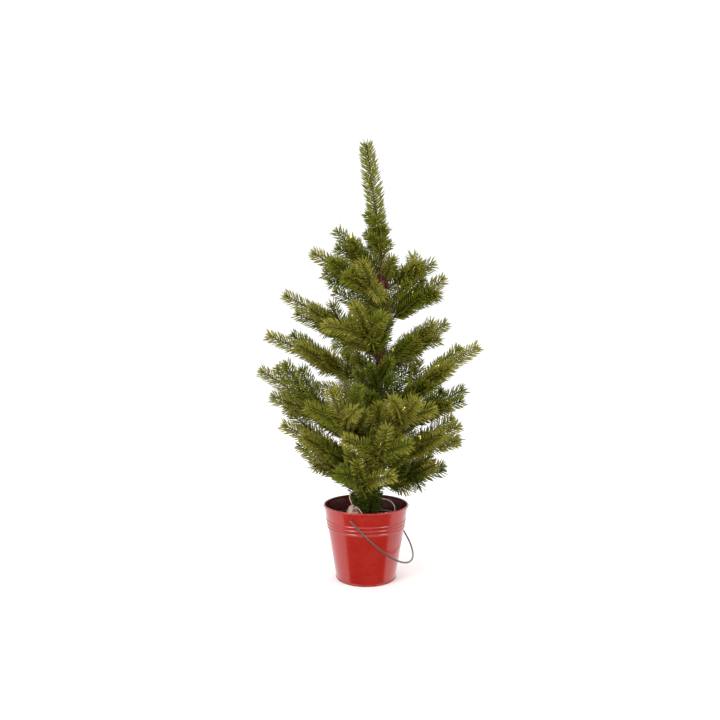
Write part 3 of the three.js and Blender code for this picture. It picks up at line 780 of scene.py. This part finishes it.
# Inner tips wind up the trunk by the golden angle. More of them, each a height and an angle,
# stand round its foot and where its front would be bare.
INNER_COUNT = 54
INNER_SPAN = (82, 432)
GOLDEN_ANGLE = 2.39996
INNER_MORE = [(78, 0.2), (80, -0.9), (80, -1.9), (84, 2.6), (92, -1.3), (96, -2.4), (206, -1.5),
              (222, -1.9), (236, -1.2), (250, -1.8), (262, -1.3), (270, -2.3), (310, -1.4),
              (330, -1.9)]
# At these heights: how far inner tips reach and how many degrees they climb.
REACH_AT, REACH_BY = [82, 130, 200, 320, 432], [34, 48, 58, 56, 40]
CLIMB_AT, CLIMB_BY = [82, 110, 150, 200, 432], [68, 60, 46, 34, 42]


def inner_tips():
    """Short tips wired close to the trunk from inside the bucket upwards, which hide the pole."""
    twigs = Body()
    needles = Needles()
    low, high = INNER_SPAN
    places = [(low + (high - low) * k / (INNER_COUNT - 1), GOLDEN_ANGLE * k + 0.6)
              for k in range(INNER_COUNT)]
    for z, a in places + INNER_MORE:
        reach = np.interp(z, REACH_AT, REACH_BY) * DRAW.uniform(0.85, 1.1)
        spread = np.interp(z, [100, 130], [12, 6])
        climb = math.radians(np.interp(z, CLIMB_AT, CLIMB_BY) + DRAW.uniform(-spread, spread))
        out = level(a)
        start = trunk_at(z) + out * 4.0
        end = start + reach * (out * math.cos(climb) + np.array([0, 0, math.sin(climb)]))
        bend = start + out * 0.3 * reach + np.array([0, 0, 0.3 * reach])
        line = bezier(start, bend, end, 30)
        if fills_opening(line):
            continue
        n = len(line)
        twigs.add(*sweep(line, np.linspace(1.0, 0.6, n), 8), np.repeat(np.linspace(0.6, 0.1, n), 8))
        # Painted shade: tips low down, in the bucket, get a darker pigment, by 0.4 at 90 mm and
        # less up to 140 mm.
        shade = DRAW.uniform(0.35, 0.65) - np.interp(z, [90, 140], [0.4, 0])
        clothe(needles, line, shade, length=np.interp(z, [82, 130], [12, 15]))
    make("inner_twigs", twigs, TWIG, "tree", "needles", crease=0)
    needles.make("inner_needles", "tree")


inner_tips()

POLE_RADIUS = 3.5
TAPE_WIDTH = 9.0


def pole():
    """The pole, wound with paper tape whose edge steps up once a turn."""
    part = trunk[::4]
    n, sides = len(part), 24
    verts, faces = sweep(part, POLE_RADIUS, sides)
    turn = np.linspace(0, 1, sides, endpoint=False)[None]
    lap = (part[:, 2][:, None] / TAPE_WIDTH + turn) % 1.0
    centre = part[:, None]
    rings = centre + (verts.reshape(n, sides, 3) - centre) * (0.94 + 0.08 * lap[..., None])
    make("taped_pole", gathered((rings.reshape(-1, 3), faces)), PAPER_TAPE, "tree", "pole_paint",
         ("trunk_pole",))


pole()


TINSEL_SPAN = (106, 424)
STRIP_COUNT = 2600
STRIP_HALF_WIDTH = 0.45


def tinsel():
    """A sleeve of wound film with thousands of slit strips standing out of it."""
    low, high = TINSEL_SPAN
    core = trunk[(trunk[:, 2] > low) & (trunk[:, 2] < high)][::2]
    sleeve = sweep(core, 5.0 * (1 + 0.07 * np.sin(core[:, 2] * 1.6)), 16)
    tangent, side, up = frames(core)
    count = STRIP_COUNT
    which = DRAW.integers(0, len(core), count)
    around = DRAW.uniform(0, 2 * math.pi, count)[:, None]
    outward = np.cos(around) * side[which] + np.sin(around) * up[which]
    heading = unit(outward + tangent[which] * DRAW.uniform(-0.5, 0.9, count)[:, None]
                   + DRAW.normal(0, 0.3, (count, 3)))
    size = DRAW.uniform(4.5, 8.5, count)[:, None]
    flat = unit(np.cross(heading, outward + DRAW.normal(0, 0.4, (count, 3))))
    base = core[which] + outward * 4.2
    strips = np.stack([base - flat * STRIP_HALF_WIDTH, base + flat * STRIP_HALF_WIDTH,
                       base + np.cross(heading, flat) * 0.25, base + heading * size], axis=1)
    faces = []
    for b in range(0, 4 * count, 4):
        faces += [(b, b + 2, b + 1), (b, b + 1, b + 3), (b + 1, b + 2, b + 3), (b + 2, b, b + 3)]
    make("trunk_tinsel_film", gathered(sleeve, (strips.reshape(-1, 3), faces)), TINSEL, "tree",
         "tinsel", ("trunk_tinsel",))


tinsel()

# ---- bucket

BUCKET_HEIGHT = 100
RIM_RADIUS = 57.5
BASE_RADIUS = 40.5
WALL = 0.8
ROLL_RADIUS = 1.3
BEADS = (70, 75, 80)
BEAD_SPAN = 3.4
BEAD_DEPTH = 1.1
FOOT_WIDTH = 2.2
FOOT_RADIUS = BASE_RADIUS - FOOT_WIDTH / 2
BAIL_PIVOT_Z = 90.3
BAIL_HOLE_RADIUS = 1.7
BAIL_TURN = math.radians(20)
BAIL_AXIS = np.array([math.sin(BAIL_TURN), math.cos(BAIL_TURN), 0])
PIVOT = np.array([0, 0, BAIL_PIVOT_Z])


def wall_radius(z):
    return BASE_RADIUS + (RIM_RADIUS - BASE_RADIUS) * z / BUCKET_HEIGHT


def bead(z):
    """How far the wall stands out at a height, where the rollers raised their beads."""
    out = 0.0
    for middle in BEADS:
        away = abs(z - middle) / (BEAD_SPAN / 2)
        if away < 1:
            out += BEAD_DEPTH * 0.5 * (1 + math.cos(math.pi * away))
    return out


def arc(radius, height, wide, tall, first, last, count):
    """Points of a rolled edge's section, by angles in degrees."""
    return [(radius + wide * math.cos(math.radians(a)), height + tall * math.sin(math.radians(a)))
            for a in np.linspace(first, last, count)]


def raise_seam(verts):
    """Lifts the lapped and soldered side seam that runs up the back of the wall."""
    angle = np.arctan2(verts[:, 1], verts[:, 0]) - math.pi / 2
    lap = np.clip(1 - np.abs(angle) / math.radians(5), 0, 1)
    lap = np.minimum(1, lap * 2.2)
    radius, z = np.hypot(verts[:, 0], verts[:, 1]), verts[:, 2]
    outside = (radius > wall_radius(z) - 0.3) & (z > 4) & (z < 97)
    verts[:, :2] *= (1 + 0.4 * lap * outside / radius)[:, None]


def bucket():
    heights = np.concatenate([
        np.linspace(4, 66, 24), np.linspace(66.5, 83, 67), np.linspace(84, 97.2, 12)])
    outer = [(FOOT_RADIUS, 0.0), (BASE_RADIUS + FOOT_WIDTH / 3, 0.0)]
    outer += arc(BASE_RADIUS + FOOT_WIDTH / 2 - 1.0, 1.45, 1.15, 1.3, -60, 70, 8)
    outer += [(wall_radius(z) + bead(z), z) for z in heights]
    rim = arc(RIM_RADIUS, BUCKET_HEIGHT - ROLL_RADIUS, ROLL_RADIUS, ROLL_RADIUS, -85, 190, 20)
    inner = [(wall_radius(z) + bead(z) - WALL, z) for z in heights[::-1]]
    inner.append((FOOT_RADIUS, 3.2))
    segments = 180
    verts, faces = lathe(outer + rim + inner, segments)
    raise_seam(verts)
    # Painted shade: from three quarters of the way round the rolled rim inwards, the inside is
    # given a darker red.
    full = len(outer) + 15
    thin = np.concatenate([np.zeros(full), np.ones(len(verts) // segments - full)])
    body = Body()
    body.add(verts, faces, np.repeat(thin, segments))
    shell = make("bucket_shell", body, ENAMEL, "tree", "enamel", ("bucket_wall",))
    drill = [PIVOT - BAIL_AXIS * 80, PIVOT, PIVOT + BAIL_AXIS * 80]
    carve(shell, [gathered(sweep(drill, BAIL_HOLE_RADIUS, 20))])
    # The base is a pressed disc with a raised ring round its middle.
    edge = FOOT_RADIUS - 0.4
    disc = lathe([(0.02, 2), (12, 2), (13, 2.3), (15, 2.3), (16, 2), (edge - 1.5, 2), (edge, 2.2),
                  (edge, 2.8), (edge - 1.5, 2.8), (16, 2.8), (15, 3.1), (13, 3.1), (12, 2.8),
                  (0.02, 2.8)])
    make("bucket_floor", gathered(disc), ENAMEL, "tree", "enamel", ("bucket_base",))


bucket()

BAIL_HALF_WIDTH = 60.5
BAIL_REACH = 89
BAIL_DROP = math.radians(43.9)
BAIL_FULLNESS = 0.827
BAIL_HOOK = 5
BAIL_RADIUS = 1.15
BOW_STEPS = 22


def bail():
    """A wire whose hooked ends pass square through the wall, and which bows out between them."""
    out = np.array([math.cos(BAIL_TURN) * math.cos(BAIL_DROP),
                    -math.sin(BAIL_TURN) * math.cos(BAIL_DROP), -math.sin(BAIL_DROP)])
    inside = wall_radius(BAIL_PIVOT_Z) - WALL - 3
    hook = [(inside - 1, BAIL_HOOK), (inside, 1.2), (inside + 1.4, 0), (inside + 4, 0)]
    bow = []
    for i in range(1, BOW_STEPS):
        t = math.pi * i / BOW_STEPS
        bow.append(PIVOT - BAIL_AXIS * BAIL_HALF_WIDTH * math.cos(t)
                   + out * BAIL_REACH * math.sin(t) ** BAIL_FULLNESS)
    corner = BAIL_AXIS * (BAIL_HALF_WIDTH - 1.4)
    near = [PIVOT + (0, 0, rise) - BAIL_AXIS * far for far, rise in hook]
    far_side = [PIVOT + (0, 0, rise) + BAIL_AXIS * far for far, rise in reversed(hook)]
    route = smooth(near + [PIVOT - corner] + bow + [PIVOT + corner] + far_side, 320)
    make("bail_wire", gathered(sweep(route, BAIL_RADIUS, 16, (1, 0, 0.3))), WIRE, "bail",
         "bail_wire", ("bail_handle",))


bail()


BALLAST_TOP = 30.9
SOCKET_RADIUS = 3.9
SOCKET_FLOOR = 12


def inside_wall(z):
    """How far plaster reaches from the axis at a height."""
    return wall_radius(z) - WALL - 0.4


def ballast():
    """Plaster poured round the pole; its top is slightly uneven."""
    profile = [(SOCKET_RADIUS, SOCKET_FLOOR), (0.05, SOCKET_FLOOR), (0.05, 3.2),
               (BASE_RADIUS - FOOT_WIDTH, 3.2), (inside_wall(5), 5), (inside_wall(30.5), 30.5)]
    profile += [(r, BALLAST_TOP) for r in np.linspace(inside_wall(31), SOCKET_RADIUS, 26)]
    verts, faces = lathe(profile, 120)
    top = verts[:, 2] > BALLAST_TOP - 0.2
    x, y = verts[top, 0], verts[top, 1]
    verts[top, 2] += (0.35 * np.sin(x * 0.21 + 1) * np.cos(y * 0.17)
                      + 0.2 * np.sin(x * 0.63) * np.sin(y * 0.58) - 0.45)
    make("plaster_plug", gathered((verts, faces)), PLASTER, "tree", "plaster", ("ballast_plug",))


ballast()

# ---- battery box


def corners(node):
    """A CAD node's lowest and highest corners, in millimetres."""
    return tuple(np.array(v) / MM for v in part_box(node))


def case_and_cover():
    """The frosted case, hollowed for its cells, with a window for the switch; its cover has
    ribs to push it by."""
    low, high = corners("battery_case")
    case = make("battery_case_shell", gathered(block(low, high, 4.5, 6)), FROSTED_CASE_PAINTED_SHADE_AND_REFLECTION, "tree",
                "case_plastic", ("battery_case",))
    room = block((low[0] - 1, low[1] + 1.5, low[2] + 1.5),
                 (high[0] - 1.5, high[1] - 1.5, low[2] + 53.9), 1.0, 2)
    slot_low, slot_high = corners("switch_slider")
    window = block((slot_low[0] - 0.4, slot_low[1] - 3.6, slot_low[2] - 2.6),
                   (slot_high[0] + 0.4, slot_high[1] + 3.6, high[2] - 1.5), 0.3, 1)
    x, y, _ = (slot_low + slot_high) / 2
    gate = block((x - 1.8, y - 5, high[2] - 3), (x + 1.8, y + 5, high[2] + 2), 0.3, 1)
    carve(case, [gathered(part) for part in (room, window, gate)])

    low, high = corners("battery_cover")
    centre = (low[1] + high[1]) / 2
    ribs = [block((low[0], centre - 8, z), (high[0] - 0.9, centre + 8, z + 0.7), 0.25, 2)
            for z in high[2] - 14 + 1.4 * np.arange(5)]
    plate = block((high[0] - 1.3, low[1], low[2]), high, 0.6, 3)
    make("battery_cover_plate", gathered(plate, *ribs), FROSTED_CASE_PAINTED_SHADE_AND_REFLECTION, "cover", "case_plastic",
         ("battery_cover",))


def cells_and_contacts():
    for name in ("contact_plate_bottom", "contact_plate_top"):
        plate = gathered(block(*corners(name), 0.15, 2))
        make(name + "_pressing", plate, NICKEL, "tree", "contact_steel", (name,))
    for i in range(1, 4):
        name = f"battery_cell_{i}"
        low, high = corners(name)
        x, y, _ = (low + high) / 2
        tall = high[2] - low[2]
        verts, faces = lathe([
            (0.02, 0), (5.6, 0), (6.2, 0.3), (6.9, 0.3), (7.05, 0.8), (7.05, tall - 2.4),
            (6.7, tall - 1.5), (3.4, tall - 1.3), (2.7, tall - 1.1), (2.6, tall - 0.3),
            (2.2, tall), (0.02, tall)], 48)
        if i == 2:  # the middle cell stands the other way up
            verts[:, 2] = tall - verts[:, 2]
        make(name + "_can", gathered((verts + (x, y, low[2]), faces)), CELL_FILM, "tree",
             "cell_jacket", (name,))


def board_and_switch():
    low, high = corners("timer_board")
    chip = block((low[0] + 2, low[1] + 2, high[2] - 0.2), (low[0] + 5, low[1] + 5, high[2] + 0.3),
                 0.1, 1)
    make("timer_board_panel", gathered(block(low, high, 0.12, 1), chip), BOARD, "tree", "board",
         ("timer_board",))

    low, high = corners("switch_slider")
    x, y, _ = (low + high) / 2
    ridges = [block((x - 1.4, side, high[2] - 3.8), (x + 1.4, side + 0.98, high[2]), 0.25, 2)
              for side in (y - 1.5, y - 0.5, y + 0.5)]
    knob = block(low, (high[0], high[1], high[2] - 3.4), 0.3, 2)
    make("switch_knob", gathered(knob, *ridges), BLACK_ABS, "switch", "rubber", ("switch_slider",))

    low, high = corners("lead_grommet")
    x, y, _ = (low + high) / 2
    verts, faces = lathe([(0.9, 0), (2.4, 0), (2.4, 0.6), (2.0, 0.8), (2.2, 1.2), (1.8, 1.4),
                          (2.0, 1.8), (1.6, 2.0), (1.7, 2.6), (0.9, 2.6)], 32)
    make("lead_grommet_ribs", gathered((verts + (x, y, low[2]), faces)), CREPE_RUBBER, "tree",
         "rubber", ("lead_grommet",))


case_and_cover()
cells_and_contacts()
board_and_switch()

# ---- leads and lights


LEAD_EXIT = (-16.5, -17.0)
LEAD_RADIUS = 0.7


def leads():
    """One lead straight up to the trunk, and one that first bends down inside the bucket."""
    x, y = LEAD_EXIT
    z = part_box("lead_grommet")[1].z / MM + 0.4
    short = [(x - 1, y, z), (x - 1.4, y, z + 3), (-21, y + 2, 107), (-22.4, y + 4, 111),
             (-20.5, y + 7, 116), (-12, -4, 121), (-6, 2, 125)]
    long = [(x + 1, y, z), (x + 1.4, y, z + 2.4), (-10, -20, 97), (-5, -24, 91), (2, -25, 87),
            (12, -26, 84), (22, -24, 90), (27, -20, 92), (32, -17, 88), (36, -14, 88),
            (38.6, -15, 94), (38.2, -15, 99), (35, -13, 104), (28, -9, 107), (20, -6, 108),
            (12, -4.5, 112)]
    for name, route in (("lead_left", short), ("lead_right", long)):
        jacket = gathered(sweep(smooth(route, 160), LEAD_RADIUS, 12))
        make(name + "_jacket", jacket, CLEAR_PVC, "tree", "lead_coating", (name,))


leads()

STRAND_SPAN = (128, 416)
STRAND_TURNS = 24
STRAND_RADIUS = 0.5


def trunk_strand():
    """The strand that climbs the back of the trunk, swaying between the roots of the boughs."""
    points = []
    low, high = STRAND_SPAN
    for i in range(STRAND_TURNS + 1):
        outward = level(math.radians(42 + 6 * math.sin(i * 1.3)))
        z = low + (high - low) * i / STRAND_TURNS
        points.append(trunk_at(z) + outward * (TINSEL_RADIUS + 1.5))
    strand = gathered(sweep(smooth(points, 300), STRAND_RADIUS, 8))
    make("trunk_strand", strand, GREEN_PVC, "tree", "lead_coating", ("trunk_light_wire",))


trunk_strand()

# The lit boughs, and how far out along its stem each one's drop is.
LIT = [(2, 0.5), (4, 0.62), (6, 0.55), (8, 0.72), (10, 0.55), (12, 0.68), (13, 0.5), (16, 0.6),
       (17, 0.66), (18, 0.42), (19, 0.58), (21, 0.6), (23, 0.62), (24, 0.5), (25, 0.6)]
LIGHT_START = 0.12
LIGHT_STEPS = 7
LIGHT_WIRE_RADIUS = 0.45
ROOT_CLEARANCE = 2.8
CLEARANCE = 7.4
DROP_SIZE = 5.4
DROP_RISE = 2.0


def drop(centre):
    """A teardrop of cast epoxy round one diode."""
    profile = [(0.02, -0.5)] + arc(0, 0, 0.38, 0.5, -80, 80, 12) + [(0.02, 0.5)]
    verts, faces = lathe(np.array(profile) * DROP_SIZE, 20)
    return verts + centre, faces


def light(number, reach):
    """The wire that rides above a bough's stem, and the drop that ends it."""
    lines, _ = bough_lines(number)
    _, _, up = frames(lines[0])
    points = []
    for i in range(LIGHT_STEPS + 1):
        u = LIGHT_START + (reach - LIGHT_START) * i / LIGHT_STEPS
        clear = ROOT_CLEARANCE if i == 0 else CLEARANCE
        points.append(at_length(lines[0], u) + at_length(up, u) * clear)
    name, body = f"bough_light_{number:02d}", f"bough_{number:02d}"
    wire = gathered(sweep(smooth(points, 60), LIGHT_WIRE_RADIUS, 8))
    make(name + "_wire", wire, GREEN_PVC, body, "lead_coating")
    lamp = gathered(drop(points[-1] + np.array([0, 0, DROP_RISE])))
    make(name + "_drop", lamp, EPOXY_DROP, body, "lamp", (f"branch_light_{number:02d}",))


for number, reach in LIT:
    light(number, reach)

# ---- studio


FLOOR_REACH = 8.0
FLAG_REACH = 0.5
FLAG_HEIGHTS = (-0.9, 0.16)
# Each softbox: where it stands, in metres, how wide and tall it is, and its watts.
SOFTBOXES = [((-1.3, -1.2, 1.5), 0.9, 1.2, 22), ((1.5, -1.0, 1.3), 0.6, 1.4, 10),
             ((0.2, 1.6, 1.5), 1.4, 0.8, 8)]


def backdrop(name, verts, faces, material):
    mesh = bpy.data.meshes.new(name)
    mesh.from_pydata(verts, [], faces)
    mesh.materials.append(material)
    sheet = add_object(name, mesh)
    return sheet


def studio():
    scene = bpy.context.scene
    paper = grained("matt_white_paper", ("#f6f5f4", "#fbfaf9"), 20.0, (0.9, 0.98), 0.02)
    r = FLOOR_REACH
    floor = backdrop("floor", [(-r, -r, 0), (r, -r, 0), (r, r, 0), (-r, r, 0)], [(0, 1, 2, 3)],
                     paper)
    floor.visible_glossy = False

    # A black flag in front keeps the middle of the bucket deep red; only reflections meet it.
    cloth = grained("black_flag_cloth", ("#141414", "#1c1c1c"), 4.0, (0.9, 0.98), 0.02)
    turn = np.radians(np.linspace(-66, 72, 24))
    verts = [(FLAG_REACH * math.sin(a), -FLAG_REACH * math.cos(a), z)
             for z in FLAG_HEIGHTS for a in turn]
    n = len(turn)
    flag = backdrop("flag", verts, [(i, i + 1, n + i + 1, n + i) for i in range(n - 1)], cloth)
    for kind in ("camera", "diffuse", "shadow", "transmission"):
        setattr(flag, "visible_" + kind, False)

    world = bpy.data.worlds.new("studio")
    scene.world = world
    world.use_nodes = True
    sky = world.node_tree.nodes["Background"]
    sky.inputs["Color"].default_value = linear("#ffffff")
    sky.inputs["Strength"].default_value = 1.12

    middle = Vector((0, 0, 0.3))
    for i, (spot, wide, tall, watts) in enumerate(SOFTBOXES):
        lamp = bpy.data.lights.new(f"softbox_{i}", "AREA")
        lamp.shape = "RECTANGLE"
        lamp.size = wide
        lamp.size_y = tall
        lamp.energy = watts
        box = add_object(f"softbox_{i}", lamp)
        box.location = spot
        box.rotation_euler = (middle - Vector(spot)).to_track_quat("-Z", "Y").to_euler()

    lens = bpy.data.cameras.new("camera")
    lens.lens = 30
    lens.sensor_width = 36
    camera = add_object("camera", lens)
    camera.location = Vector(EYE) * MM
    camera.rotation_euler = (math.radians(90), 0, 0)
    scene.camera = camera
    scene.view_settings.view_transform = "Standard"


studio()
